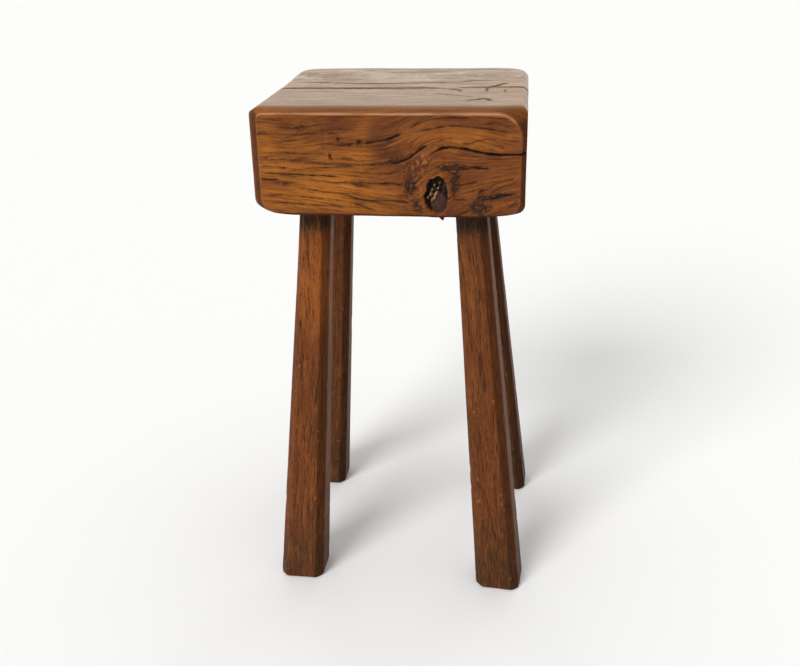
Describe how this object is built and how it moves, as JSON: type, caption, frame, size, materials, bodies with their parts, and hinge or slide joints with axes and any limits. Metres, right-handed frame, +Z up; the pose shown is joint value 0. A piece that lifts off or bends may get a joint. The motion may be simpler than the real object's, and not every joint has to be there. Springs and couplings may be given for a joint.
{
  "type": "milking stool",
  "caption": "Rustic hardwood block stool: a thick square seat block on splayed square legs that widen to the foot, joined by hidden wedged tenons.",
  "frame": {"origin": "on the floor, below the middle of the seat", "axes": "+Z up through the seat, +X to the right along the seat's grain, -Y towards the front face with the knot hole"},
  "size_m": [0.2485, 0.226, 0.46],
  "materials": {
    "seat_wood": "old brown hardwood with drying checks and a knot hole, under a thin gloss lacquer",
    "leg_wood": "reddish brown hardwood with straight grain, darker at the foot, under a thin satin lacquer",
    "wedge_wood": "bare split hardwood, not finished"
  },
  "bodies": {
    "root": {"seat_block": "seat_wood", "leg_front_left": "leg_wood", "leg_front_right": "leg_wood", "leg_back_left": "leg_wood", "leg_back_right": "leg_wood", "wedge_front_left": "wedge_wood", "wedge_front_right": "wedge_wood", "wedge_back_left": "wedge_wood", "wedge_back_right": "wedge_wood"}
  },
  "joints": []
}
